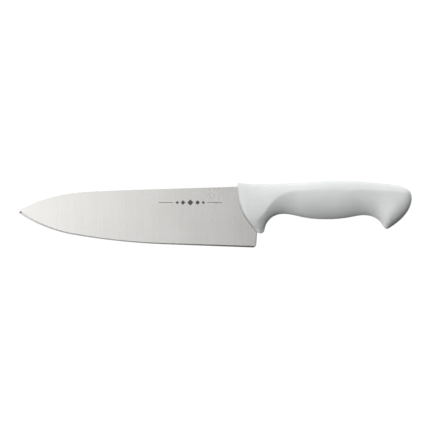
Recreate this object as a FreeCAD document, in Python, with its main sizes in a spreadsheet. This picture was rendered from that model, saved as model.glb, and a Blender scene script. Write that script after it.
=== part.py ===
"""Eight-inch chef's knife with a one-piece moulded handle.

Two parts: a stamped steel blade with a hidden tang, and a white handle moulded around that tang.
The knife stands on edge in the XZ plane, as it does when it cuts, and is symmetric about that plane.
Origin: on the mid-plane, where the spine of the blade meets the front of the handle.
-X points to the tip, +X to the butt, +Z to the spine and Y through the thickness. Lengths are millimetres.
"""

import FreeCAD, Part
import math
import os

import Sketcher

Vector = FreeCAD.Vector
OUTWARD = Vector(0, 1, 0)
ORIGIN = (-1, 1)
START, END, CENTRE = 1, 2, 3
QUARTER_WEIGHT = math.sqrt(0.5)

SIZES = {
    # Blade outline.
    "stock_thickness": 2.3,
    "tip_top_reach": 185.0,
    "tip_top_drop": 19.0,
    "tip_radius": 2.1,
    "tip_reach": 185.6,
    "tip_drop": 22.0,
    "shoulder_reach": 8.0,
    "shoulder_rise": 0.95,
    "spine_slope_degrees": 1.8,
    "spine_bend_reach": 87.0,
    "spine_bend_radius": 1700.0,
    "spine_nose_reach": 130.0,
    "belly_reach": 61.0,
    "belly_drop": 48.35,
    "edge_slope_degrees": 2.1,
    "belly_radius": 585.0,
    "belly_nose_reach": 140.0,
    "heel_reach": 17.8,
    "heel_lean_degrees": 3.8,
    "heel_radius": 3.0,
    # Tang, hidden in the handle, and the holes that key the plastic to it.
    "tang_top_drop": 5.0,
    "tang_low_drop": 18.5,
    "tang_reach": 118.0,
    "tang_root_radius": 5.0,
    "key_hole_diameter": 7.5,
    "key_hole_reach": 32.0,
    "key_hole_pitch": 24.0,
    # Flat grind: each flank is one plane that thins towards the edge and towards the tip.
    "flank_half_thickness": 1.12,
    "flank_slope_degrees": 0.945,
    "distal_slope_degrees": 0.086,
    "grind_depth": 3.0,
    "grind_line_x": -0.5,
    "grind_line_drop": 3.0,
    "grind_line_lean_degrees": 2.0,
    "grind_line_radius": 42.4,
    "grind_heel_degrees": 52.5,
    "grind_rise": 12.0,
    "grind_drop": 60.0,
    "grind_reach": 195.0,
    # Edge bevel.
    "bevel_degrees": 13.0,
    "bevel_tool_height": 2.6,
    "bevel_overrun": 24.0,
    # Handle edges.
    "ridge_radius": 4.0,
    "butt_edge_radius": 4.0,
    "guard_tip_x": 19.6,
    "guard_tip_drop": 35.6,
    "guard_tip_radius": 3.55,
    "guard_tip_front_degrees": 217.5,
    "guard_tip_back_degrees": -7.2,
    "guard_tool_reach": 26.0,
    "guard_tool_front": 5.0,
    "guard_tool_drop": 60.0,
    "trim_clearance": 32.0,
}

# The handle is made from four forms, one for each side of its outline. Each form is a row of cross-sections.
# A section starts at its foot, on the outline, and grows along its lean. It rounds out from nothing to its
# half width over the rounding depth, and then runs on to its far end.
SECTION_COLUMNS = ("x", "z", "lean_degrees", "half_width", "rounding", "far_run", "far_half_width")
SECTIONS = {
    "crown": (
        (-4.0, 4.1, -90, 4.2, 25.0, 60, 1.6),
        (8.0, 3.1, -90, 6.6, 23.0, 60, 1.6),
        (20.0, 2.6, -90, 8.8, 20.5, 60, 2.2),
        (36.0, 2.9, -90, 10.9, 17.0, 60, 9.0),
        (58.0, 4.2, -90, 12.8, 14.5, 60, 12.0),
        (86.0, 5.5, -90, 13.5, 14.2, 60, 13.0),
        (115.0, 4.1, -90, 12.9, 13.8, 60, 13.0),
        (135.0, 1.8, -90, 12.7, 13.4, 60, 12.8),
        (156.0, -1.5, -90, 12.4, 13.0, 60, 12.4),
    ),
    "underside": (
        (22.99, -39.63, 186, 6.0, 6.0, 62, 0),
        (23.84, -32.66, 160, 7.6, 6.8, 56, 0),
        (26.91, -27.56, 138, 9.2, 8.6, 48, 0),
        (32.15, -23.75, 114, 10.0, 12.5, 36, 0),
        (38.5, -22.4, 90, 9.6, 16.0, 25, 0),
        (56.0, -25.2, 90, 11.0, 17.8, 20, 0),
        (76.0, -26.9, 90, 12.0, 18.8, 19, 0),
        (95.0, -25.3, 90, 11.1, 17.2, 21, 0),
        (108.7, -23.45, 90, 10.5, 15.0, 26, 0),
        (115.84, -24.97, 66, 11.5, 13.0, 34, 0),
        (121.74, -29.26, 42, 12.2, 9.0, 42, 0),
        (125.39, -35.58, 18, 12.4, 6.0, 46, 0),
        (126.08, -43.44, -8, 12.4, 5.0, 50, 0),
    ),
    "nose": (
        (0.3, 16.0, 0, 5.2, 6.5, 4, 30),
        (0.4, -2.0, 0, 5.4, 6.5, 4, 30),
        (2.1, -12.6, 14, 6.6, 7.0, 4, 30),
        (7.3, -25.2, 33, 8.4, 4.0, 4, 30),
        (12.5, -32.2, 37.5, 8.6, 1.8, 4, 30),
        (16.8, -37.8, 37.5, 8.6, 1.3, 4, 30),
        (23.5, -46.5, 37.5, 8.8, 1.3, 4, 30),
    ),
    "butt": (
        (119.0, -40.2, 120, 12.6, 5.0, 1, 30),
        (131.0, -33.2, 124, 12.6, 5.5, 1, 30),
        (143.0, -23.0, 142, 12.0, 6.0, 1, 30),
        (148.0, -14.4, 164, 11.2, 6.5, 1, 30),
        (148.5, -6.0, 196, 10.4, 7.0, 1, 30),
        (144.4, -0.6, 236, 10.4, 8.0, 1, 30),
        (133.0, 3.4, 255, 12.0, 9.0, 1, 30),
    ),
}
TRIMS = ("nose", "butt")
KEY_HOLES = 3
# A crease is rounded when its two faces meet at an angle between these, in degrees, and it is long enough.
SOFTEST_CREASE, SHARPEST_CREASE = 8, 60
SHORTEST_CREASE = 5
BUTT_EDGE_FRONT = 130

doc = FreeCAD.newDocument("chef_knife")
sheet = doc.addObject("Spreadsheet::Sheet", "sizes")


def fill_sheet():
    """Writes every driving size to the sheet, one row each, under its own alias."""
    rows = dict(SIZES)
    for form, sections in SECTIONS.items():
        for number, section in enumerate(sections, 1):
            for column, value in zip(SECTION_COLUMNS, section):
                rows[f"{form}_{number}_{column}"] = value
    for row, (name, value) in enumerate(rows.items(), 1):
        sheet.set(f"A{row}", name)
        sheet.set(f"B{row}", str(value))
        sheet.setAlias(f"B{row}", name)
    doc.recompute()


def size(name):
    return float(sheet.get(name))


def tangent(name):
    return math.tan(math.radians(size(name)))


def origin_plane(body, role):
    return next(feature for feature in body.Origin.OriginFeatures if feature.Role == role)


def new_sketch(body, name, role):
    """An empty sketch on one of the body's own origin planes."""
    sketch = body.newObject("Sketcher::SketchObject", name)
    sketch.AttachmentSupport = (origin_plane(body, role), "")
    sketch.MapMode = "FlatFace"
    return sketch


def constrain(sketch, kind, *arguments, expression=None):
    """Adds a constraint, and ties its value to the sheet where an expression is given."""
    index = sketch.addConstraint(Sketcher.Constraint(kind, *arguments))
    if expression:
        sketch.setExpression(f"Constraints[{index}]", expression)


def pin(sketch, geometry, point, x=None, z=None):
    """Fixes a point's coordinates. Each is given as (value, expression)."""
    for kind, target in (("DistanceX", x), ("DistanceY", z)):
        if target:
            constrain(sketch, kind, *ORIGIN, geometry, point, target[0], expression=target[1])


def minus(name):
    return -size(name), f"-sizes.{name}"


def plus(name):
    return size(name), f"sizes.{name}"


def join(sketch, first, second, smooth=True):
    """Joins the end of one curve to the start of the next, tangentially unless told otherwise."""
    kind = "Tangent" if smooth else "Coincident"
    constrain(sketch, kind, first[0], first[1], second[0], second[1])


def flat(x, z):
    return Vector(x, z, 0)


def arc_between(start, end, bulge):
    """An arc from start to end whose middle stands bulge away, to the left of the direction of travel."""
    chord = end - start
    left = Vector(-chord.y, chord.x, 0).normalize()
    return Part.Arc(start, (start + end) * 0.5 + left * bulge, end)


def add_line(sketch, start, end):
    return sketch.addGeometry(Part.LineSegment(start, end))


def add_arc(sketch, start, end, bulge):
    """Adds an arc and says which of its ends is which: (index, start point, end point)."""
    index = sketch.addGeometry(arc_between(start, end, bulge))
    if (sketch.getPoint(index, START) - start).Length < (sketch.getPoint(index, END) - start).Length:
        return index, START, END
    return index, END, START


def chain(sketch, points, bulges, smooth, closed=False):
    """Lines and arcs through the points in order, with a bulge of 0 for a line.

    smooth says which joints are tangent. Constraints then settle where the unpinned points really are.
    """
    ends = points[1:] + points[:1] if closed else points[1:]
    pieces = []
    for start, end, bulge in zip(points, ends, bulges):
        if bulge:
            pieces.append(add_arc(sketch, start, end, bulge))
        else:
            pieces.append((add_line(sketch, start, end), START, END))
    followers = pieces[1:] + pieces[:1] if closed else pieces[1:]
    for piece, follower, is_smooth in zip(pieces, followers, smooth):
        join(sketch, (piece[0], piece[2]), (follower[0], follower[1]), is_smooth)
    return pieces


def lean(sketch, piece, degrees, expression):
    """Sets a line's direction, as an angle from +X."""
    constrain(sketch, "Angle", piece[0], math.radians(degrees), expression=expression)


def set_radius(sketch, piece, name):
    constrain(sketch, "Radius", piece[0], size(name), expression=f"sizes.{name}")


def constrain_belly(sketch, nose, belly, edge):
    """Sizes of the cutting edge: a straight heel half, a long shallow arc and a tighter arc to the tip."""
    pin(sketch, nose[0], nose[1], minus("tip_reach"), minus("tip_drop"))
    pin(sketch, belly[0], belly[1], minus("belly_nose_reach"))
    pin(sketch, edge[0], edge[1], minus("belly_reach"), minus("belly_drop"))
    set_radius(sketch, belly, "belly_radius")
    slope = size("edge_slope_degrees")
    lean(sketch, edge, -slope, "-sizes.edge_slope_degrees * 1 deg")


def draw_blank(sketch):
    """Outline of the steel blank: spine, blunted tip, cutting edge, heel and tang."""
    shoulder = flat(size("shoulder_reach"), size("shoulder_rise"))
    tang_low, tang_top = -size("tang_low_drop"), -size("tang_top_drop")
    heel = size("heel_reach")
    root = size("tang_root_radius")
    tang_end = size("tang_reach") - (tang_top - tang_low) / 2
    points = [
        shoulder,
        flat(-size("spine_bend_reach"), -2.0),
        flat(-size("spine_nose_reach"), -4.0),
        flat(-size("tip_top_reach"), -size("tip_top_drop")),
        flat(-size("tip_reach"), -size("tip_drop")),
        flat(-size("belly_nose_reach"), -41.0),
        flat(-size("belly_reach"), -size("belly_drop")),
        flat(heel - 4.5, -51.0),
        flat(heel - 1.5, -48.0),
        flat(heel, tang_low - root),
        flat(heel + root, tang_low),
        flat(tang_end, tang_low),
        flat(tang_end, tang_top),
        flat(size("shoulder_reach"), tang_top),
    ]
    bulges = [0, -0.14, -3.1, -0.6, -2.5, -1.2, 0, -0.8, 0, 1.5, 0, -6.7, 0, 0]
    smooth = [True, True, False, False, True, True, True, True, True, True, True, True, False, False]
    pieces = chain(sketch, points, bulges, smooth, closed=True)
    spine, spine_arc, spine_nose, tip_end, nose, belly, edge, heel_corner, heel_line = pieces[:9]
    tang_root, low_line, tang_cap, top_line, shoulder_line = pieces[9:]

    pin(sketch, spine[0], spine[1], plus("shoulder_reach"), plus("shoulder_rise"))
    slope = size("spine_slope_degrees")
    lean(sketch, spine, 180 + slope, "180 deg + sizes.spine_slope_degrees * 1 deg")
    pin(sketch, spine_arc[0], spine_arc[1], minus("spine_bend_reach"))
    set_radius(sketch, spine_arc, "spine_bend_radius")
    pin(sketch, spine_nose[0], spine_nose[1], minus("spine_nose_reach"))
    pin(sketch, tip_end[0], tip_end[1], minus("tip_top_reach"), minus("tip_top_drop"))
    set_radius(sketch, tip_end, "tip_radius")
    constrain_belly(sketch, nose, belly, edge)
    set_radius(sketch, heel_corner, "heel_radius")
    pin(sketch, heel_line[0], heel_line[2], plus("heel_reach"))
    lean(sketch, heel_line, 90 - size("heel_lean_degrees"), "90 deg - sizes.heel_lean_degrees * 1 deg")
    set_radius(sketch, tang_root, "tang_root_radius")
    constrain(sketch, "Horizontal", low_line[0])
    constrain(sketch, "Horizontal", top_line[0])
    constrain(sketch, "Vertical", shoulder_line[0])
    pin(sketch, top_line[0], top_line[2], z=minus("tang_top_drop"))
    cap_reach = "sizes.tang_reach - (sizes.tang_low_drop - sizes.tang_top_drop) / 2"
    pin(sketch, low_line[0], low_line[2], (tang_end, cap_reach), minus("tang_low_drop"))


def draw_edge_path(sketch):
    """The cutting edge on its own, run on behind the heel to start the bevel tool clear of the steel."""
    overrun = size("bevel_overrun")
    points = [
        flat(-size("tip_reach"), -size("tip_drop")),
        flat(-size("belly_nose_reach"), -41.0),
        flat(-size("belly_reach"), -size("belly_drop")),
        flat(overrun, -51.4),
    ]
    nose, belly, edge = chain(sketch, points, [-2.5, -1.2, 0], [True, True])
    constrain_belly(sketch, nose, belly, edge)
    pin(sketch, edge[0], edge[2], plus("bevel_overrun"))


def draw_grind(sketch):
    """What the flat grind reaches on one side: the blade in front of a line just ahead of the handle."""
    top, low, reach = size("grind_rise"), -size("grind_drop"), size("grind_reach")
    points = [
        flat(-0.5, top),
        flat(size("grind_line_x"), -size("grind_line_drop")),
        flat(8.3, -27.0),
        flat(33.5, low),
        flat(-reach, low),
        flat(-reach, top),
    ]
    smooth = [True, True, False, False, False, False]
    front_line, front_arc, heel_line, low_line, far_line, top_line = chain(
        sketch, points, [0, -3.2, 0, 0, 0, 0], smooth, closed=True
    )
    pin(sketch, front_line[0], front_line[1], z=plus("grind_rise"))
    pin(sketch, front_line[0], front_line[2], plus("grind_line_x"), minus("grind_line_drop"))
    tilt = size("grind_line_lean_degrees")
    lean(sketch, front_line, -90 + tilt, "-90 deg + sizes.grind_line_lean_degrees * 1 deg")
    set_radius(sketch, front_arc, "grind_line_radius")
    lean(sketch, heel_line, -size("grind_heel_degrees"), "-sizes.grind_heel_degrees * 1 deg")
    pin(sketch, heel_line[0], heel_line[2], z=minus("grind_drop"))
    pin(sketch, far_line[0], far_line[1], minus("grind_reach"), minus("grind_drop"))
    constrain(sketch, "Vertical", far_line[0])
    constrain(sketch, "Horizontal", top_line[0])


def draw_bevel(sketch):
    """Section of the bevel tool: the notch between its two slopes is the finished cutting edge."""
    height = size("bevel_tool_height")
    half = height * tangent("bevel_degrees")
    straight_run = size("belly_reach") + size("bevel_overrun")
    apex_z = -size("belly_drop") - straight_run * tangent("edge_slope_degrees")
    straight = "(sizes.belly_reach + sizes.bevel_overrun)"
    apex_expression = f"-sizes.belly_drop - {straight} * tan(sizes.edge_slope_degrees * 1 deg)"
    half_expression = "sizes.bevel_tool_height * tan(sizes.bevel_degrees * 1 deg)"
    corners = [(0, 0), (1, 1), (1, -1), (-1, -1), (-1, 1)]
    points = [flat(across * half, apex_z + rise * height) for across, rise in corners]
    pieces = chain(sketch, points, [0] * 5, [False] * 5, closed=True)
    for piece, point, (across, rise) in zip(pieces, points, corners):
        x = (point.x, f"{across} * {half_expression}") if across else None
        z = (point.y, f"{apex_expression} + {rise} * sizes.bevel_tool_height")
        pin(sketch, piece[0], piece[1], x, z)
    constrain(sketch, "PointOnObject", pieces[0][0], START, -2)


def make_blade():
    """The blade: a flat blank, ground thin on both sides, with a bevelled edge and a pierced tang."""
    body = doc.addObject("PartDesign::Body", "blade")
    body.Label = "blade"

    blank_sketch = new_sketch(body, "blank_outline", "XZ_Plane")
    draw_blank(blank_sketch)
    blank = body.newObject("PartDesign::Pad", "blank")
    blank.Profile = blank_sketch
    blank.SideType = "Symmetric"
    blank.setExpression("Length", "sizes.stock_thickness")

    holes_sketch = new_sketch(body, "key_holes_outline", "XZ_Plane")
    middle = "-(sizes.tang_top_drop + sizes.tang_low_drop) / 2"
    middle_z = -(size("tang_top_drop") + size("tang_low_drop")) / 2
    for number in range(KEY_HOLES):
        x = size("key_hole_reach") + number * size("key_hole_pitch")
        radius = size("key_hole_diameter") / 2
        circle = holes_sketch.addGeometry(Part.Circle(flat(x, middle_z), Vector(0, 0, 1), radius))
        reach = f"sizes.key_hole_reach + {number} * sizes.key_hole_pitch"
        pin(holes_sketch, circle, CENTRE, (x, reach), (middle_z, middle))
        constrain(holes_sketch, "Diameter", circle, 2 * radius, expression="sizes.key_hole_diameter")
    holes = body.newObject("PartDesign::Pocket", "key_holes")
    holes.Profile = holes_sketch
    holes.SideType = "Symmetric"
    holes.setExpression("Length", "2 * sizes.stock_thickness")

    grind_sketch = new_sketch(body, "grind_outline", "XZ_Plane")
    tilt = FreeCAD.Rotation(0, -size("distal_slope_degrees"), size("flank_slope_degrees"))
    grind_sketch.AttachmentOffset = FreeCAD.Placement(Vector(), tilt)
    grind_sketch.setExpression("AttachmentOffset.Base.z", "sizes.flank_half_thickness")
    draw_grind(grind_sketch)
    grind = body.newObject("PartDesign::Pocket", "grind")
    grind.Profile = grind_sketch
    grind.Reversed = True
    grind.setExpression("Length", "sizes.grind_depth")
    doc.recompute()

    body.Tip = grind
    other_side = body.newObject("PartDesign::Mirrored", "grind_other_side")
    other_side.Originals = [grind]
    other_side.MirrorPlane = (origin_plane(body, "XZ_Plane"), [""])
    body.Tip = other_side
    doc.recompute()

    path_sketch = new_sketch(body, "edge_path", "XZ_Plane")
    draw_edge_path(path_sketch)
    bevel_sketch = new_sketch(body, "bevel_section", "YZ_Plane")
    bevel_sketch.setExpression("AttachmentOffset.Base.z", "sizes.bevel_overrun")
    draw_bevel(bevel_sketch)
    doc.recompute()
    bevel = body.newObject("PartDesign::SubtractivePipe", "bevel")
    bevel.Profile = bevel_sketch
    bevel.Spine = (path_sketch, ["Edge1", "Edge2", "Edge3"])
    doc.recompute()
    return body


def section_curves(form, number, side):
    """One side of a cross-section, as conics: three poles and a middle weight each."""
    x, z, lean_degrees, half_width, rounding, far_run, far_half_width = (
        size(f"{form}_{number}_{column}") for column in SECTION_COLUMNS
    )
    angle = math.radians(lean_degrees)
    along = Vector(math.cos(angle), 0, math.sin(angle))
    out = OUTWARD * side
    foot = Vector(x, 0, z)
    middle = foot + along * rounding
    far = middle + along * far_run
    widest = middle + out * half_width
    curves = [((foot, foot + out * half_width, widest), QUARTER_WEIGHT)]
    if not far_half_width:
        return curves + [((widest, far + out * half_width, far), QUARTER_WEIGHT)]
    corners = [widest, far + out * far_half_width]
    if form in TRIMS:
        behind = foot - along * size("trim_clearance")
        corners += [behind + out * far_half_width, behind]
    else:
        corners += [far]
    return curves + [((a, (a + b) * 0.5, b), 1) for a, b in zip(corners, corners[1:])]


def conic_edge(poles, weight):
    curve = Part.BSplineCurve()
    curve.buildFromPolesMultsKnots(list(poles), [3, 3], [0, 1], False, 2, [1, weight, 1])
    return curve.toShape()


def end_face(form, number):
    edges = [conic_edge(*curve) for side in (1, -1) for curve in section_curves(form, number, side)]
    return Part.Face(Part.Wire(Part.__sortEdges__(edges)))


def skin(conics, stations):
    """One face through the same conic of every section: exact at each section and smooth between them."""
    rails = []
    for pole in range(3):
        rail = Part.BSplineCurve()
        rail.interpolate(Points=[poles[pole] for poles, weight in conics], Parameters=stations)
        rails.append(rail)
    grid = [[rail.getPole(row) for rail in rails] for row in range(1, rails[0].NbPoles + 1)]
    weights = [[1, conics[0][1], 1] for row in grid]
    surface = Part.BSplineSurface()
    surface.buildFromPolesMultsKnots(
        grid, rails[0].getMultiplicities(), [3, 3], rails[0].getKnots(), [0, 1], False, False, 3, 2, weights
    )
    return surface.toShape()


def make_form(form):
    """A closed solid skinned over one form's sections."""
    count = len(SECTIONS[form])
    faces = [end_face(form, 1), end_face(form, count)]
    for side in (1, -1):
        sections = [section_curves(form, number, side) for number in range(1, count + 1)]
        widest = [section[0][0][2] for section in sections]
        stations = [0]
        for point, following in zip(widest, widest[1:]):
            stations.append(stations[-1] + (following - point).Length)
        faces += [skin(conics, stations) for conics in zip(*sections)]
    shell = Part.makeShell(faces)
    shell.sewShape()
    solid = Part.makeSolid(shell)
    if solid.Volume < 0:
        solid.reverse()
    feature = doc.addObject("Part::Feature", f"{form}_form")
    feature.Shape = solid
    feature.Placement = FreeCAD.Placement()
    return feature


def make_guard_tip_tool():
    """Takes the sharp corner off the guard, leaving it round in the side view."""
    centre = Vector(size("guard_tip_x"), 0, -size("guard_tip_drop"))
    half_length = size("trim_clearance")

    def on_tip(degrees):
        angle = math.radians(degrees)
        return centre + Vector(math.cos(angle), 0, math.sin(angle)) * size("guard_tip_radius")

    front, back = size("guard_tip_front_degrees"), size("guard_tip_back_degrees") + 360
    arc = Part.Arc(on_tip(front), on_tip((front + back) / 2), on_tip(back))
    floor = -size("guard_tool_drop")
    corners = [
        on_tip(back),
        Vector(size("guard_tool_reach"), 0, floor),
        Vector(size("guard_tool_front"), 0, floor),
        Vector(size("guard_tool_front"), 0, on_tip(front).z),
        on_tip(front),
    ]
    edges = [arc.toShape()] + [Part.makeLine(a, b) for a, b in zip(corners, corners[1:])]
    face = Part.Face(Part.Wire(edges))
    face.translate(OUTWARD * -half_length)
    feature = doc.addObject("Part::Feature", "guard_tip_tool")
    feature.Shape = face.extrude(OUTWARD * 2 * half_length)
    feature.Placement = FreeCAD.Placement()
    return feature


def middle_of(edge):
    return edge.valueAt((edge.FirstParameter + edge.LastParameter) / 2)


def crease_angle(shape, edge):
    """Angle in degrees between the two faces that meet along an edge."""
    faces = shape.ancestorsOfType(edge, Part.Face)
    if len(faces) < 2:
        return 0
    normals = [face.normalAt(*face.Surface.parameter(middle_of(edge))) for face in faces]
    return math.degrees(normals[0].getAngle(normals[1]))


def round_creases(name, base, radius_name, front):
    """Rounds the base's long soft creases whose middles lie behind the given x."""
    doc.recompute()
    radius = size(radius_name)
    chosen = []
    for index, edge in enumerate(base.Shape.Edges, 1):
        is_crease = SOFTEST_CREASE < crease_angle(base.Shape, edge) < SHARPEST_CREASE
        if is_crease and edge.Length > SHORTEST_CREASE and middle_of(edge).x > front:
            chosen.append((index, radius, radius))
    fillet = doc.addObject("Part::Fillet", name)
    fillet.Base = base
    fillet.Edges = chosen
    return fillet


def cut(name, base, tool):
    feature = doc.addObject("Part::Cut", name)
    feature.Base = base
    feature.Tool = tool
    return feature


def make_handle(blade):
    """The handle: crown and underside forms in common, trimmed at both ends and cast around the blade."""
    forms = {form: make_form(form) for form in SECTIONS}
    grip = doc.addObject("Part::MultiCommon", "grip")
    grip.Shapes = [forms["crown"], forms["underside"]]
    ridged = round_creases("grip_rounded", grip, "ridge_radius", front=0)
    nosed = cut("grip_nosed", ridged, forms["nose"])
    trimmed = cut("grip_trimmed", nosed, forms["butt"])
    guarded = cut("grip_guarded", trimmed, make_guard_tip_tool())
    finished = round_creases("grip_finished", guarded, "butt_edge_radius", front=BUTT_EDGE_FRONT)
    handle = cut("handle", finished, blade)
    handle.Label = "handle"
    doc.recompute()
    return handle


def check(parts):
    """Stops the build if any feature failed or either part is not one valid solid."""
    for feature in doc.Objects:
        if "Invalid" in feature.State or "Error" in feature.State:
            raise RuntimeError(f"{feature.Name} is {feature.State}")
    for part in parts:
        shape = part.Shape
        if shape.isNull() or not shape.isValid() or len(shape.Solids) != 1:
            raise RuntimeError(f"{part.Label} is not one valid solid")


def export(parts):
    os.makedirs("parts", exist_ok=True)
    for part in parts:
        part.Shape.exportStep(f"parts/{part.Label}.step")


fill_sheet()
blade = make_blade()
handle = make_handle(blade)
check([blade, handle])
export([blade, handle])
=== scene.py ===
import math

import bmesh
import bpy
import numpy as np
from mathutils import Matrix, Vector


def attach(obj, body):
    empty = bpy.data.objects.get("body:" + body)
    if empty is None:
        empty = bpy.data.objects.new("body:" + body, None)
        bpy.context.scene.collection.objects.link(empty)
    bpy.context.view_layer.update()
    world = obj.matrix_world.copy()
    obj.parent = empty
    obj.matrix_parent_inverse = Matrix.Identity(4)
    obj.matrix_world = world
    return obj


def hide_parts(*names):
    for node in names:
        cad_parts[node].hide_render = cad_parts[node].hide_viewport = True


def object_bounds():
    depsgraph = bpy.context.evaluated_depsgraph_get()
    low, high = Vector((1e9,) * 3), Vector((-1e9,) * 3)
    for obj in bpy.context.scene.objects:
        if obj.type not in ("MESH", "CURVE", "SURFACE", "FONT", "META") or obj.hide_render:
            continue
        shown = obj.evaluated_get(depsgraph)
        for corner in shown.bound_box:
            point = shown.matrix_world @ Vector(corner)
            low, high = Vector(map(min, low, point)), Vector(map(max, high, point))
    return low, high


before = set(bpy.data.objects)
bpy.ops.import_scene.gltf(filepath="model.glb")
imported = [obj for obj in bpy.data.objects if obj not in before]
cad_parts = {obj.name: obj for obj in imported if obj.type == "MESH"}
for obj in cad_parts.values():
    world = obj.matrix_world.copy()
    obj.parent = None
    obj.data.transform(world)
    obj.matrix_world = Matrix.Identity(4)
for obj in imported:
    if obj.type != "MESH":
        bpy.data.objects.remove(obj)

# Looks of the eight-inch chef's knife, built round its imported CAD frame.
#
# The blade is the CAD node with a ground-steel finish and eased corners. The handle is a finer skin over
# the same four forms as the CAD handle, with its creases blended softly as moulded plastic has them. The
# frame is in metres with Z up and the tip at -X. The handle is worked out in millimetres, like the CAD.

CAD_LOW, CAD_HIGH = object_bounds()
MM = 0.001

# Finishes of the blade, by material index, and how squarely a face of each has to look sideways: 1 is
# square. Every other face is stamped rim.
FLANK, BEVEL, RIM = range(3)
FLANK_FACING = 0.99
BEVEL_FACING = 0.6

# How far the blade's square edges are eased, in millimetres, and where they are: the spine above SPINE_FLOOR
# and ahead of SPINE_END, the heel below HEEL_CEILING and behind HEEL_START.
SPINE_EASE = 0.45
HEEL_EASE = 0.26
SPINE_FLOOR, SPINE_END = -22, -1
HEEL_CEILING, HEEL_START = -39, 10
EASE_SEGMENTS = 3
SHARP_ANGLE = math.radians(8)

# The heel's rear edge, x = HEEL_LINE + HEEL_LEAN * z in metres, and how far ahead of it a dark band of
# painted shade lies on the steel.
HEEL_LINE = 0.01936
HEEL_LEAN = 0.0664
HEEL_SHADE_FROM, HEEL_SHADE_TO = 0.0011, 0.0002

# The etched ornament, in metres: centre in x and z, then lozenges as offset and radius, then the rule's
# start, end and half thickness, then how soft its edges are.
MARK_CENTRE = (-0.0400, -0.0128)
MARK_LOZENGES = ((0.0, 0.0026), (0.0062, 0.0020), (0.0111, 0.0014))
MARK_RULE = (0.0145, 0.0270, 0.00022)
MARK_SOFT = 0.00006

# --------------------------------------------------------------------------------------------------
# Handle forms, in millimetres. Each row is one section: its foot in x and z, the lean of its depth line in
# degrees, its half width, how deep its rounding goes, how far it runs on, and its half width at that far end.
# --------------------------------------------------------------------------------------------------
FORMS = {
    "crown": (
        (-4.0, 4.1, -90, 4.2, 25.0, 24, 1.0),
        (8.0, 3.1, -90, 6.6, 23.0, 24, 1.5),
        (20.0, 2.6, -90, 8.8, 20.5, 24, 1.8),
        (36.0, 2.9, -90, 10.9, 17.0, 32, 8.0),
        (58.0, 4.2, -90, 12.8, 15.6, 60, 12.0),
        (86.0, 5.5, -90, 13.5, 16.6, 60, 13.0),
        (115.0, 4.1, -90, 12.3, 16.6, 60, 12.6),
        (135.0, 1.8, -90, 13.0, 15.2, 60, 13.2),
        (156.0, -1.5, -90, 13.2, 13.0, 60, 13.2),
    ),
    "underside": (
        (22.99, -39.63, 186, 5.4, 11.0, 62, 0),
        (23.84, -32.66, 160, 7.0, 12.0, 56, 0),
        (26.91, -27.56, 138, 9.7, 12.6, 48, 0),
        (32.15, -23.75, 114, 10.3, 14.4, 36, 0),
        (38.5, -22.4, 90, 9.8, 16.4, 25, 0),
        (56.0, -25.2, 90, 10.9, 17.8, 19, 0),
        (76.0, -26.9, 90, 11.8, 18.8, 17.2, 0),
        (95.0, -25.3, 90, 11.7, 17.2, 18.4, 0),
        (108.7, -23.45, 90, 10.3, 15.0, 23, 0),
        (115.84, -24.97, 66, 10.4, 13.0, 32, 0),
        (121.74, -29.26, 42, 12.1, 9.0, 42, 0),
        (125.39, -35.58, 18, 12.8, 6.0, 46, 0),
        (126.08, -43.44, -8, 13.0, 5.0, 50, 0),
    ),
    "nose": (
        (0.3, 16.0, 0, 5.2, 6.5, 4, 30),
        (0.4, -2.0, 0, 5.4, 6.5, 4, 30),
        (2.1, -12.6, 14, 6.6, 7.0, 4, 30),
        (7.3, -25.2, 33, 8.4, 4.0, 4, 30),
        (12.5, -32.2, 37.5, 8.6, 1.8, 4, 30),
        (16.8, -37.8, 37.5, 8.6, 1.3, 4, 30),
        (23.5, -46.5, 37.5, 8.8, 1.3, 4, 30),
    ),
    "butt": (
        (119.0, -40.2, 120, 16.5, 17.0, 10, 30),
        (131.0, -33.2, 124, 16.5, 19.0, 10, 30),
        (142.7, -23.0, 142, 16.5, 21.0, 10, 30),
        (147.4, -14.4, 164, 16.8, 20.0, 10, 30),
        (147.8, -6.0, 196, 17.4, 19.0, 10, 30),
        (144.4, -0.6, 232, 18.0, 20.0, 10, 30),
        (135.0, 4.6, 250, 18.0, 22.0, 10, 30),
        (120.0, 14.0, 262, 18.0, 24.0, 10, 30),
    ),
}

# How finely the sections of a form are sampled, and how many points are looked up in one go.
STATIONS_PER_FORM = 220
POINTS_PER_BLOCK = 8000

# How softly the forms meet: crown and underside at the guard and at the palm, then the nose, the butt, and
# the guard's round end on the mid-plane and beside it.
RIDGE_SHARP, RIDGE_SOFT = 0.3, 0.35
RIDGE_FROM, RIDGE_TO = 26, 50
NOSE_BLEND = 0.6
BUTT_BLEND = 4.0
TIP_BLEND_SHARP, TIP_BLEND_SOFT = 0.3, 5.0
TIP_BLEND_FROM, TIP_BLEND_TO = 0.5, 4.0

# The butt flares sideways by this share, from one leaning line across the handle to the next.
FLARE = 0.085
FLARE_LEAN = 0.16
FLARE_FROM, FLARE_TO = 115.0, 132.0

# The round end of the finger guard: centre in x and z, radius, the directions in degrees where its arc ends,
# how quickly it lets go above its centre, and where and how quickly it lets go behind.
GUARD_TIP = (19.5, -35.4)
GUARD_TIP_RADIUS = 3.6
GUARD_TIP_FRONT, GUARD_TIP_BACK = -142.5, -7.2
GUARD_TIP_RISE = 0.35
GUARD_TIP_REACH, GUARD_TIP_RELEASE = 6, 2

# The box that the skin is looked for in, the size of its cells, and how near to the mid-plane a point
# counts as lying on it.
SKIN_LOW = (-2.0, 0.0, -44.0)
SKIN_HIGH = (152.0, 15.0, 9.0)
SKIN_STEP = 0.5
PLANE_BAND = 0.3 * SKIN_STEP

# The raised line that the mould's parting leaves: a rod of this radius in millimetres, with this many
# sides, along the outline smoothed this often.
PARTING_RADIUS = 0.13
PARTING_SIDES = 6
PARTING_SMOOTHINGS = 4

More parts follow.
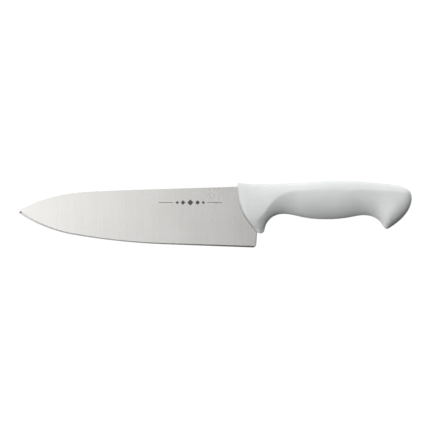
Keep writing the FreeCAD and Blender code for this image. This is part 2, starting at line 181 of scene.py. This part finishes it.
# The studio: the white that the camera sees behind the knife, the most that the soft light reaches, the least
# light in the room, and how far the floor reaches.
WHITE = (1, 1, 1, 1)
WHITE_STRENGTH = 1.02
SOFT_LIMIT = 1.12
LEAST_LIGHT = 0.03
FLOOR_HALF = 6.0


def spline(knots, values, where):
    """Natural cubic spline through values at knots, read at where."""
    gaps = np.diff(knots)
    count = len(knots)
    matrix = np.eye(count)
    right = np.zeros((count, values.shape[1]))
    slopes = np.diff(values, axis=0) / gaps[:, None]
    for i in range(1, count - 1):
        matrix[i, i - 1 : i + 2] = gaps[i - 1], 2 * (gaps[i - 1] + gaps[i]), gaps[i]
        right[i] = 6 * (slopes[i] - slopes[i - 1])
    bend = np.linalg.solve(matrix, right)
    i = np.clip(np.searchsorted(knots, where) - 1, 0, count - 2)
    h = gaps[i][:, None]
    a = (where - knots[i])[:, None]
    b = h - a
    return (
        (bend[i] * b**3 + bend[i + 1] * a**3) / (6 * h)
        + (values[i] / h - bend[i] * h / 6) * b
        + (values[i + 1] / h - bend[i + 1] * h / 6) * a
    )


def read_form(rows):
    """The form's sections, sampled densely: foot point, reach vector and widths."""
    rows = np.array(rows, float)
    lean = np.radians(rows[:, 2])
    reach = np.column_stack([np.cos(lean), np.sin(lean)]) * rows[:, 4:5]
    values = np.column_stack([rows[:, :2], reach, rows[:, 3], rows[:, 5:]])
    steps = np.hypot(*np.diff(rows[:, :2], axis=0).T)
    knots = np.concatenate([[0], np.cumsum(steps)])
    return spline(knots, values, np.linspace(0, knots[-1], STATIONS_PER_FORM))


def locate(form, points):
    """For points in the XZ plane: depth below the form's foot line, and the section's sizes there."""
    found = np.empty((len(points), form.shape[1]))
    depth = np.empty(len(points))
    direction = form[:, 2:4] / np.linalg.norm(form[:, 2:4], axis=1, keepdims=True)
    foot_side = form[:, 0] * direction[:, 1] - form[:, 1] * direction[:, 0]
    for start in range(0, len(points), POINTS_PER_BLOCK):
        chosen = slice(start, start + POINTS_PER_BLOCK)
        block = points[chosen]
        side = block @ np.array([direction[:, 1], -direction[:, 0]]) - foot_side
        crossing = np.signbit(side[:, :-1]) != np.signbit(side[:, 1:])
        crossed = crossing.any(axis=1)
        nearest = np.abs(side[:, :-1]).argmin(axis=1)
        first = np.where(crossed, crossing.argmax(axis=1), nearest)
        last = np.where(crossed, crossing.shape[1] - 1 - crossing[:, ::-1].argmax(axis=1), nearest)
        # Where a form curls round, two of its sections can point at the same place: the nearer foot counts.
        to_first = np.abs(((block - form[first, :2]) * direction[first]).sum(1))
        to_last = np.abs(((block - form[last, :2]) * direction[last]).sum(1))
        best = np.where(to_last < to_first, last, first)
        rows = np.arange(len(block))
        before, after = side[rows, best], side[rows, best + 1]
        share = np.where(crossed, before / np.where(crossed, before - after, 1), 0)[:, None]
        section = form[best] * (1 - share) + form[best + 1] * share
        lean = section[:, 2:4] / np.linalg.norm(section[:, 2:4], axis=1, keepdims=True)
        found[chosen] = section
        depth[chosen] = ((block - section[:, :2]) * lean).sum(1)
    return depth, found


def inside_form(depth, section, y):
    """About how far a point is inside a form: positive inside, in millimetres.

    Where a section is rounded it is an ellipse, with its surface at u * u + v * v = 1. A form whose far half
    width is under a millimetre is rounded at that end too; any other runs on flat."""
    rounding = np.hypot(section[..., 2], section[..., 3])
    half, far_run, far_half = section[..., 4], section[..., 5], section[..., 6]
    back = np.maximum(1 - depth / rounding, 0)
    closes = far_half < 1
    beyond = np.maximum(depth - rounding, 0)
    u = np.maximum(back, np.where(closes, beyond / far_run, 0))
    length = np.where(back > 0, rounding, far_run)
    v = y / half
    radius = np.sqrt(u * u + v * v)
    steep = np.sqrt((u / length) ** 2 + (v / half) ** 2)
    round_part = np.where(radius > 1e-6, (1 - radius) * radius / np.maximum(steep, 1e-9), half)
    share = beyond / far_run
    taper = (far_half - half) * np.where(far_half > half, share, share * share)
    flat_part = half + np.where(closes, 0, taper) - y
    return np.where((depth > rounding) & ~closes, flat_part, round_part)


def blend_min(a, b, radius):
    """The lesser of a and b, rounded off where they are closer than radius."""
    h = np.maximum(radius - np.abs(a - b), 0) / radius
    return np.minimum(a, b) - h * h * radius / 4


def smooth_step(value, low, high):
    t = np.clip((value - low) / (high - low), 0, 1)
    return t * t * (3 - 2 * t)


def guard_tip(x, z):
    """Room left inside the round end of the guard: an arc, carried on by straight lines from its ends.

    Above the arc's centre and behind its reach, the room grows and leaves the handle as it is."""
    dx, dz = x - GUARD_TIP[0], z - GUARD_TIP[1]
    distance = np.hypot(dx, dz)
    angle = np.degrees(np.arctan2(dz, dx))
    middle = (GUARD_TIP_FRONT + GUARD_TIP_BACK) / 2
    off_arc = np.abs((angle - middle + 180) % 360 - 180) - (GUARD_TIP_BACK - GUARD_TIP_FRONT) / 2
    across = distance * np.cos(np.radians(np.clip(off_arc, 0, 180)))
    above = GUARD_TIP_RISE * np.maximum(dz, 0) ** 2
    behind = GUARD_TIP_RELEASE * np.maximum(dx - GUARD_TIP_REACH, 0)
    return GUARD_TIP_RADIUS - across + above + behind


def handle_field(located, x, y, z):
    """The handle as one field: positive inside the plastic."""
    y = np.abs(y) / (1 + FLARE * smooth_step(x + FLARE_LEAN * z, FLARE_FROM, FLARE_TO))
    crown, underside, nose, butt = (inside_form(*located[name], y) for name in FORMS)
    ridge = RIDGE_SHARP + (RIDGE_SOFT - RIDGE_SHARP) * smooth_step(x, RIDGE_FROM, RIDGE_TO)
    grip = blend_min(crown, underside, ridge)
    beside = smooth_step(y, TIP_BLEND_FROM, TIP_BLEND_TO)
    tip_blend = TIP_BLEND_SHARP + (TIP_BLEND_SOFT - TIP_BLEND_SHARP) * beside
    nosed = blend_min(blend_min(grip, nose, NOSE_BLEND), guard_tip(x, z), tip_blend)
    return blend_min(nosed, butt, BUTT_BLEND)


def field_at(forms, points):
    located = {name: locate(form, points[:, [0, 2]]) for name, form in forms.items()}
    return handle_field(located, points[:, 0], points[:, 1], points[:, 2])


def surface_nets(field, low, step):
    """Quads over the field's zero surface: one vertex in every grid cell that the surface crosses.

    Every grid edge that the surface crosses gives one quad, between the four cells round that edge. A cell's
    vertex is the mean of the crossings on its edges."""
    cells = tuple(n - 1 for n in field.shape)
    total = np.zeros((3, int(np.prod(cells))))
    count = np.zeros(int(np.prod(cells)))
    quads = []
    for axis in range(3):
        others = [(axis + 1) % 3, (axis + 2) % 3]
        near = np.take(field, range(field.shape[axis] - 1), axis)
        far = np.take(field, range(1, field.shape[axis]), axis)
        where = np.argwhere((near > 0) != (far > 0))
        where = where[(where[:, others] > 0).all(1)]
        a, b = near[tuple(where.T)], far[tuple(where.T)]
        crossing = where.astype(float)
        crossing[:, axis] += a / (a - b)
        corners = []
        for shift in ((0, 0), (1, 0), (1, 1), (0, 1)):
            cell = where.copy()
            cell[:, others] -= shift
            index = np.ravel_multi_index(cell.T, cells)
            for row in range(3):
                total[row] += np.bincount(index, crossing[:, row], len(count))
            count += np.bincount(index, minlength=len(count))
            corners.append(index)
        quad = np.column_stack(corners)
        quads.append(np.where((a > 0)[:, None], quad, quad[:, ::-1]))
    quads = np.concatenate(quads)
    used, flat = np.unique(quads, return_inverse=True)
    points = (total[:, used] / count[used]).T * step + np.array(low)
    return points, flat.reshape(quads.shape)


def settle(forms, points):
    """Moves points onto the field's zero surface, along its slope, in two Newton steps."""
    nudge = 0.02
    least_slope = 0.05
    longest_step = 0.5
    for _ in range(2):
        base = field_at(forms, points)
        slope = np.empty_like(points)
        for axis in range(3):
            moved = points.copy()
            moved[:, axis] += nudge
            slope[:, axis] = (field_at(forms, moved) - base) / nudge
        step = base / np.maximum((slope**2).sum(1), least_slope)
        points = points - slope * np.clip(step, -longest_step, longest_step)[:, None]
    return points


def half_skin():
    """Half of the handle's skin: points in millimetres, quads, and which points lie on the mid-plane."""
    forms = {name: read_form(rows) for name, rows in FORMS.items()}
    # The grid starts one and a half cells before the mid-plane, so that one layer of cells straddles it.
    low = np.array(SKIN_LOW) - (0, 1.5 * SKIN_STEP, 0)
    axes = [np.arange(start, high, SKIN_STEP) for start, high in zip(low, SKIN_HIGH)]
    flat = np.stack(np.meshgrid(axes[0], axes[2], indexing="ij"), -1).reshape(-1, 2)
    shape = (len(axes[0]), 1, len(axes[2]))
    located = {}
    for name, form in forms.items():
        depth, section = locate(form, flat)
        located[name] = (depth.reshape(shape), section.reshape(shape + (-1,)))
    x, y, z = axes[0][:, None, None], axes[1][None, :, None], axes[2][None, None, :]
    points, quads = surface_nets(handle_field(located, x, y, z), low, SKIN_STEP)
    on_plane = np.abs(points[:, 1]) < PLANE_BAND
    this_side = points[:, 1] > -PLANE_BAND
    points = settle(forms, points)
    points[on_plane, 1] = 0
    return points, quads[this_side[quads].all(axis=1)], on_plane


def outline_on_plane(build):
    """The mesh's vertices on the mid-plane, in order round the outline."""
    on_plane = [v for v in build.verts if abs(v.co.y) < 1e-9]
    loop = [max(on_plane, key=lambda v: v.co.x)]
    left = set(on_plane) - set(loop)
    while True:
        neighbours = [edge.other_vert(loop[-1]) for edge in loop[-1].link_edges]
        ahead = [v for v in neighbours if v in left]
        if not ahead:
            return loop
        loop.append(ahead[0])
        left.remove(ahead[0])


def add_parting_line(build):
    """The fine raised line where the two halves of the mould meet: a thin rod round the mid-plane."""
    path = np.array([v.co for v in outline_on_plane(build)])
    for _ in range(PARTING_SMOOTHINGS):
        path = (np.roll(path, 1, axis=0) + 2 * path + np.roll(path, -1, axis=0)) / 4
    ahead = np.roll(path, -1, axis=0) - np.roll(path, 1, axis=0)
    ahead /= np.linalg.norm(ahead, axis=1, keepdims=True)
    rings = []
    for point, outward in zip(path, np.cross(ahead, (0, 1, 0))):
        ring = []
        for step in range(PARTING_SIDES):
            angle = 2 * math.pi * step / PARTING_SIDES
            offset = outward * math.cos(angle) + np.array((0, math.sin(angle), 0))
            ring.append(build.verts.new(point + offset * PARTING_RADIUS * MM))
        rings.append(ring)
    for ring, following in zip(rings, rings[1:] + rings[:1]):
        for step in range(PARTING_SIDES):
            beyond = (step + 1) % PARTING_SIDES
            build.faces.new((ring[step], ring[beyond], following[beyond], following[step]))


def make_handle_mesh():
    """Both halves of the skin, joined on the mid-plane, with the parting line."""
    points, quads, on_plane = half_skin()
    both = np.concatenate([points, points * (1, -1, 1)])
    other = quads[:, ::-1] + len(points)
    other = np.where(on_plane[other - len(points)], other - len(points), other)
    mesh = bpy.data.meshes.new("handle_skin")
    mesh.from_pydata((both * MM).tolist(), [], np.concatenate([quads, other]).tolist())
    build = bmesh.new()
    build.from_mesh(mesh)
    bmesh.ops.delete(build, geom=[v for v in build.verts if not v.link_faces], context="VERTS")
    add_parting_line(build)
    build.to_mesh(mesh)
    build.free()
    mesh.shade_smooth()
    return mesh


def finish_of(face):
    """The finish of one face of the blade, told by how squarely it looks sideways."""
    sideways = abs(face.normal.y)
    if sideways > FLANK_FACING:
        return FLANK
    if sideways > BEVEL_FACING:
        return BEVEL
    return RIM


def make_blade_mesh(source):
    """The CAD blade with its square spine and heel corners eased, as a finished blade has them.

    Its faces take one of three finishes: the ground flanks, the stamped rim and the sharpened bevel."""
    weld_distance = 1e-6
    flat_angle = math.radians(0.05)
    build = bmesh.new()
    build.from_mesh(source)
    bmesh.ops.remove_doubles(build, verts=build.verts, dist=weld_distance)
    bmesh.ops.dissolve_limit(build, angle_limit=flat_angle, verts=build.verts, edges=build.edges)
    build.normal_update()
    for face in build.faces:
        face.material_index = finish_of(face)
    spine, heel = [], []
    for edge in build.edges:
        if len(edge.link_faces) != 2:
            continue
        if {face.material_index for face in edge.link_faces} != {FLANK, RIM}:
            continue
        middle = (edge.verts[0].co + edge.verts[1].co) / 2 / MM
        if middle.z > SPINE_FLOOR and middle.x < SPINE_END:
            spine.append(edge)
        elif middle.z < HEEL_CEILING and middle.x > HEEL_START:
            heel.append(edge)
    for edges, width in ((spine, SPINE_EASE), (heel, HEEL_EASE)):
        edges = [edge for edge in edges if edge.is_valid]
        settings = {"segments": EASE_SEGMENTS, "affect": "EDGES", "clamp_overlap": True, "material": RIM}
        bmesh.ops.bevel(build, geom=edges, offset=width * MM, **settings)
    mesh = bpy.data.meshes.new("blade_skin")
    build.to_mesh(mesh)
    build.free()
    mesh.shade_smooth()
    mesh.set_sharp_from_angle(angle=SHARP_ANGLE)
    return mesh


# --------------------------------------------------------------------------------------------------
# Materials
# --------------------------------------------------------------------------------------------------
class Nodes:
    """A short way to write node trees."""

    def __init__(self, tree):
        self.tree = tree
        tree.nodes.clear()

    def add(self, kind, inputs=None, **settings):
        node = self.tree.nodes.new(kind)
        for name, value in settings.items():
            setattr(node, name, value)
        for name, value in (inputs or {}).items():
            self.put(node.inputs[name], value)
        return node

    def put(self, socket, value):
        if isinstance(value, bpy.types.NodeSocket):
            self.tree.links.new(value, socket)
        elif isinstance(value, bpy.types.Node):
            self.tree.links.new(value.outputs[0], socket)
        else:
            socket.default_value = value

    def math(self, operation, a, b=0.0, c=0.0):
        return self.add("ShaderNodeMath", {0: a, 1: b, 2: c}, operation=operation).outputs[0]

    def ramp(self, value, low, high, to_low=0.0, to_high=1.0, smooth=True):
        node = self.add(
            "ShaderNodeMapRange",
            {0: value, 1: low, 2: high, 3: to_low, 4: to_high},
            interpolation_type="SMOOTHSTEP" if smooth else "LINEAR",
        )
        return node.outputs[0]

    def noise(self, vector, scale, detail=3.0, roughness=0.5):
        inputs = {"Vector": vector, "Scale": scale, "Detail": detail, "Roughness": roughness}
        return self.add("ShaderNodeTexNoise", inputs).outputs[0]

    def split(self, vector):
        return tuple(self.add("ShaderNodeSeparateXYZ", {0: vector}).outputs)

    def stretched(self, vector, scale):
        return self.add("ShaderNodeVectorMath", {0: vector, 1: scale}, operation="MULTIPLY").outputs[0]

    def weighed(self, *terms):
        """The sum of values, each with its weight."""
        total = 0.0
        for value, weight in terms:
            total = self.math("MULTIPLY_ADD", value, weight, total)
        return total

    def mix_color(self, factor, a, b):
        node = self.add("ShaderNodeMix", data_type="RGBA")
        self.put(node.inputs[0], factor)
        self.put(node.inputs[6], a)
        self.put(node.inputs[7], b)
        return node.outputs[2]


def painted_corner_shade(n, distance):
    """Where shade is painted into corners: 1 deep in a corner, 0 in the open."""
    open_sky = n.add("ShaderNodeAmbientOcclusion", {"Distance": distance}, samples=8).outputs["AO"]
    return n.ramp(open_sky, 0.80, 0.50)


def new_material(name):
    material = bpy.data.materials.new(name)
    material.use_nodes = True
    return material, Nodes(material.node_tree)


def plastic_material():
    """White polypropylene: orange peel, a fine grain, faint flow lines, and painted shade darkening its
    corners.
    """
    dull, clean = (0.785, 0.81, 0.805, 1), (0.83, 0.85, 0.845, 1)
    scuffed, corner_shade_colour = (0.62, 0.63, 0.62, 1), (0.10, 0.10, 0.095, 1)
    material, n = new_material("handle_plastic")
    place = n.add("ShaderNodeTexCoord").outputs["Object"]
    broad = n.noise(place, 60.0)
    flow = n.noise(n.stretched(place, (140.0, 700.0, 700.0)), 1.0, 4.0, 0.6)
    grain = n.noise(place, 1500.0, 3.0, 0.6)
    scuffs = n.noise(n.stretched(place, (220.0, 2400.0, 1500.0)), 1.0, 2.0)
    peel = n.noise(place, 520.0, 2.0, 0.6)
    colour = n.mix_color(n.ramp(n.weighed((broad, 0.5), (flow, 0.5)), 0.36, 0.64), dull, clean)
    colour = n.mix_color(n.ramp(scuffs, 0.66, 0.78, 0.0, 0.35), colour, scuffed)
    # Painted shade: near-black mixed in where the ambient-occlusion mask finds a corner.
    colour = n.mix_color(n.math("MULTIPLY", painted_corner_shade(n, 0.003), 0.8), colour, corner_shade_colour)
    rough = n.ramp(n.weighed((broad, 0.6), (grain, 0.4)), 0.3, 0.7, 0.40, 0.55)
    height = n.weighed((grain, 1.0), (flow, 0.8), (peel, 2.2))
    bump = n.add("ShaderNodeBump", {"Strength": 0.55, "Distance": 0.00014, "Height": height})
    shader = n.add(
        "ShaderNodeBsdfPrincipled",
        {
            "Base Color": colour,
            "Roughness": rough,
            "IOR": 1.49,
            "Normal": bump,
            "Subsurface Weight": 0.12,
            "Subsurface Radius": (0.9, 0.9, 0.8),
            "Subsurface Scale": 0.002,
        },
    )
    n.add("ShaderNodeOutputMaterial", {"Surface": shader})
    return material


def etched_mark(n, place):
    """A plain ornament of lozenges and two short rules on the blade's left side: 1 where it is etched."""
    x, y, z = n.split(place)
    rise = n.math("ABSOLUTE", n.math("SUBTRACT", z, MARK_CENTRE[1]))
    along = n.math("ABSOLUTE", n.math("SUBTRACT", x, MARK_CENTRE[0]))
    past_start = n.ramp(along, MARK_RULE[0] - MARK_SOFT, MARK_RULE[0] + MARK_SOFT)
    before_end = n.ramp(along, MARK_RULE[1] + MARK_SOFT, MARK_RULE[1] - MARK_SOFT)
    within = n.ramp(rise, MARK_RULE[2] + MARK_SOFT, MARK_RULE[2] - MARK_SOFT)
    mark = n.math("MULTIPLY", n.math("MULTIPLY", past_start, before_end), within)
    for offset, radius in MARK_LOZENGES:
        reach = n.math("ADD", n.math("ABSOLUTE", n.math("SUBTRACT", along, offset)), rise)
        mark = n.math("MAXIMUM", mark, n.ramp(reach, radius + MARK_SOFT, radius - MARK_SOFT))
    return n.math("MULTIPLY", mark, n.math("LESS_THAN", y, 0.0))


def finish_steel(n, colour, rough, height, strength, distance):
    """The metal surface that each finish of the blade ends in; its bump is distance high."""
    bump = n.add("ShaderNodeBump", {"Strength": strength, "Distance": distance, "Height": height})
    shader = n.add(
        "ShaderNodeBsdfPrincipled",
        {"Base Color": colour, "Metallic": 1.0, "Roughness": rough, "Normal": bump},
    )
    n.add("ShaderNodeOutputMaterial", {"Surface": shader})


def steel_material():
    """Satin-ground stainless steel, with the fine lines of the grinding belt across the blade, and painted
    shade in its corners and along the heel.
    """
    dull, clean = (0.775, 0.765, 0.745, 1), (0.825, 0.815, 0.795, 1)
    corner_shade_colour, heel_shade_colour, etched = (0.10, 0.095, 0.09, 1), (0.22, 0.22, 0.22, 1), (0.10, 0.10, 0.105, 1)
    shade_high, shade_low = -0.012, -0.026
    material, n = new_material("blade_steel")
    place = n.add("ShaderNodeTexCoord").outputs["Object"]
    x, _, z = n.split(place)
    lines = n.noise(n.stretched(place, (5200.0, 300.0, 90.0)), 1.0, 4.0, 0.6)
    coarse = n.noise(n.stretched(place, (900.0, 60.0, 14.0)), 1.0, 3.0)
    clouds = n.noise(place, 35.0, 3.0)
    speckle = n.noise(place, 9000.0, 2.0)
    mark = n.math("MULTIPLY", etched_mark(n, place), n.ramp(speckle, 0.2, 0.6, 0.75, 1.0))
    colour = n.mix_color(n.ramp(n.weighed((coarse, 0.5), (clouds, 0.5)), 0.3, 0.7), dull, clean)
    # Painted shade: near-black mixed in where the blade meets the handle, stronger lower down.
    corner_shade_mask = n.math("MULTIPLY", painted_corner_shade(n, 0.002), n.ramp(z, shade_high, shade_low, 0.6, 1.0))
    colour = n.mix_color(corner_shade_mask, colour, corner_shade_colour)
    # Painted shade: a dark band just ahead of the heel's rear edge.
    to_heel = n.math("MULTIPLY_ADD", z, -HEEL_LEAN, x)
    wear_and_heel_shade = n.ramp(to_heel, HEEL_LINE - HEEL_SHADE_FROM, HEEL_LINE - HEEL_SHADE_TO, 0.0, 0.75)
    colour = n.mix_color(wear_and_heel_shade, colour, heel_shade_colour)
    colour = n.mix_color(mark, colour, etched)
    streaks = n.weighed((lines, 0.6), (clouds, 0.4))
    rough = n.weighed((n.ramp(streaks, 0.3, 0.7, 0.22, 0.30), 1.0), (mark, 0.25))
    finish_steel(n, colour, rough, n.weighed((lines, 1.0), (mark, -0.8)), 0.12, 0.00002)
    return material


def rim_material():
    """The stamped rim: steel painted darker than the flanks, as painted shade for the dark lines along spine
    and heel, with stains and the marks of the belt running along it.
    """
    # Painted shade: both tones are far darker than the flank steel; stains pick between them.
    stained_shade, plain = (0.34, 0.335, 0.325, 1), (0.44, 0.435, 0.425, 1)
    material, n = new_material("blade_rim")
    place = n.add("ShaderNodeTexCoord").outputs["Object"]
    lines = n.noise(n.stretched(place, (120.0, 2600.0, 2600.0)), 1.0, 4.0, 0.6)
    stains = n.noise(place, 160.0, 4.0)
    colour = n.mix_color(n.ramp(stains, 0.3, 0.7), stained_shade, plain)
    finish_steel(n, colour, n.ramp(lines, 0.3, 0.7, 0.34, 0.46), lines, 0.25, 0.00003)
    return material


def bevel_material():
    """The sharpened bevel: fine stone marks across the edge, and painted shade darkening it towards the heel.
    """
    worn, fresh, heel_shade_tone = (0.66, 0.66, 0.65, 1), (0.74, 0.74, 0.73, 1), (0.34, 0.34, 0.335, 1)
    heel_from, heel_to = -0.12, 0.015
    material, n = new_material("blade_bevel")
    place = n.add("ShaderNodeTexCoord").outputs["Object"]
    lines = n.noise(n.stretched(place, (9000.0, 900.0, 500.0)), 1.0, 3.0, 0.6)
    wear_and_heel_shade = n.noise(place, 90.0, 3.0)
    colour = n.mix_color(n.ramp(wear_and_heel_shade, 0.3, 0.7), worn, fresh)
    # Painted shade: the bevel turns darker towards the heel.
    colour = n.mix_color(n.ramp(n.split(place)[0], heel_from, heel_to), colour, heel_shade_tone)
    finish_steel(n, colour, n.ramp(lines, 0.3, 0.7, 0.16, 0.24), lines, 0.15, 0.00001)
    return material


def floor_material():
    """Pale studio floor: plain white at a grazing view, with soft shadows from above."""
    material, n = new_material("studio_floor")
    surface = n.add("ShaderNodeNewGeometry").outputs
    sides = {0: surface["Normal"], 1: surface["Incoming"]}
    facing = n.add("ShaderNodeVectorMath", sides, operation="DOT_PRODUCT").outputs["Value"]
    steep = n.ramp(n.math("ABSOLUTE", facing), 0.08, 0.35)
    white = n.add("ShaderNodeEmission", {"Color": WHITE, "Strength": WHITE_STRENGTH})
    paint = n.add("ShaderNodeBsdfDiffuse", {"Color": (0.93, 0.93, 0.925, 1)})
    mix = n.add("ShaderNodeMixShader", {0: steep, 1: white, 2: paint})
    n.add("ShaderNodeOutputMaterial", {"Surface": mix})
    return material


# --------------------------------------------------------------------------------------------------
# Studio
# --------------------------------------------------------------------------------------------------
def make_world():
    """Soft room light: bright above and to the left, dim below and to the right. The camera sees plain white.

    The flat of the blade mirrors a panel on the camera's side, bright on the left. The rims of the handle
    mirror a glow from behind the knife, which fades to the lower right. Steel seen from its ends or from
    above mirrors a weak fill at the sides and below, which is there only for reflections."""
    world = bpy.data.worlds.new("studio")
    world.use_nodes = True
    bpy.context.scene.world = world
    n = Nodes(world.node_tree)
    x, y, z = n.split(n.add("ShaderNodeTexCoord").outputs["Generated"])
    soft = n.math("ADD", n.math("MULTIPLY", x, -0.66), n.math("MULTIPLY_ADD", z, 0.80, 0.70))
    soft = n.math("MINIMUM", soft, SOFT_LIMIT)
    ahead = n.math("MULTIPLY", n.ramp(n.math("MULTIPLY", y, -1.0), 0.72, 0.96), n.ramp(z, -0.48, -0.22))
    panel = n.math("MULTIPLY", ahead, n.ramp(x, -0.45, 0.32, 1.51, -1.16, smooth=False))
    glow = n.ramp(n.math("SUBTRACT", z, x), -0.45, 0.15, -0.25, 0.45)
    behind = n.math("MULTIPLY", n.ramp(y, 0.5, 0.8), glow)
    light = n.math("ADD", n.math("ADD", soft, behind), panel)
    light = n.math("MAXIMUM", light, LEAST_LIGHT)
    path = n.add("ShaderNodeLightPath").outputs
    sides = n.ramp(n.math("ABSOLUTE", x), 0.45, 0.8, 0.0, 0.55)
    below = n.ramp(z, -0.6, -0.85, 0.0, 0.45)
    mirrored = n.math("MULTIPLY", n.math("MAXIMUM", sides, below), path["Is Glossy Ray"])
    room = n.add("ShaderNodeBackground", {"Color": WHITE, "Strength": n.math("MAXIMUM", light, mirrored)})
    seen = n.add("ShaderNodeBackground", {"Color": WHITE, "Strength": WHITE_STRENGTH})
    mix = n.add("ShaderNodeMixShader", {0: path["Is Camera Ray"], 1: room, 2: seen})
    n.add("ShaderNodeOutputWorld", {"Surface": mix})


def make_floor():
    """A wide plane under the blade that takes shadows but throws no light back."""
    half, z = FLOOR_HALF, CAD_LOW.z
    mesh = bpy.data.meshes.new("floor")
    corners = [(-half, -half, z), (half, -half, z), (half, half, z), (-half, half, z)]
    mesh.from_pydata(corners, [], [(0, 1, 2, 3)])
    floor = bpy.data.objects.new("floor", mesh)
    bpy.context.scene.collection.objects.link(floor)
    mesh.materials.append(floor_material())
    floor.visible_diffuse = False
    floor.visible_glossy = False


def make_overhead_light():
    """A wide soft lamp above the knife, a little ahead of it and to the left."""
    data = bpy.data.lights.new("overhead", "AREA")
    data.shape = "RECTANGLE"
    data.size, data.size_y = 0.9, 0.7
    data.energy = 0.8
    light = bpy.data.objects.new("overhead", data)
    bpy.context.scene.collection.objects.link(light)
    light.location = (-0.25, -0.35, 0.9)
    light.rotation_euler = (-light.location).to_track_quat("-Z", "Y").to_euler()


def make_camera():
    """Straight at the side of the knife, from far enough for a nearly flat view."""
    view_width = 0.3693
    distance = 1.25
    aim_x, aim_z = -0.0173, -0.0251
    data = bpy.data.cameras.new("camera")
    data.sensor_width = 36.0
    data.lens = data.sensor_width * distance / view_width
    camera = bpy.data.objects.new("camera", data)
    bpy.context.scene.collection.objects.link(camera)
    camera.location = (aim_x, -distance, aim_z)
    camera.rotation_euler = (math.pi / 2, 0, 0)
    bpy.context.scene.camera = camera


def show(name, mesh, finishes, node):
    """One visual piece: it rides on the root body and stands for one CAD node."""
    piece = bpy.data.objects.new(name, mesh)
    bpy.context.scene.collection.objects.link(piece)
    for finish in finishes:
        mesh.materials.append(finish())
    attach(piece, "root")
    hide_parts(node)


blade_mesh = make_blade_mesh(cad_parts["blade"].data)
show("blade_skin", blade_mesh, (steel_material, bevel_material, rim_material), "blade")
show("handle_skin", make_handle_mesh(), (plastic_material,), "handle")

make_world()
make_floor()
make_overhead_light()
make_camera()
bpy.context.scene.view_settings.view_transform = "Standard"
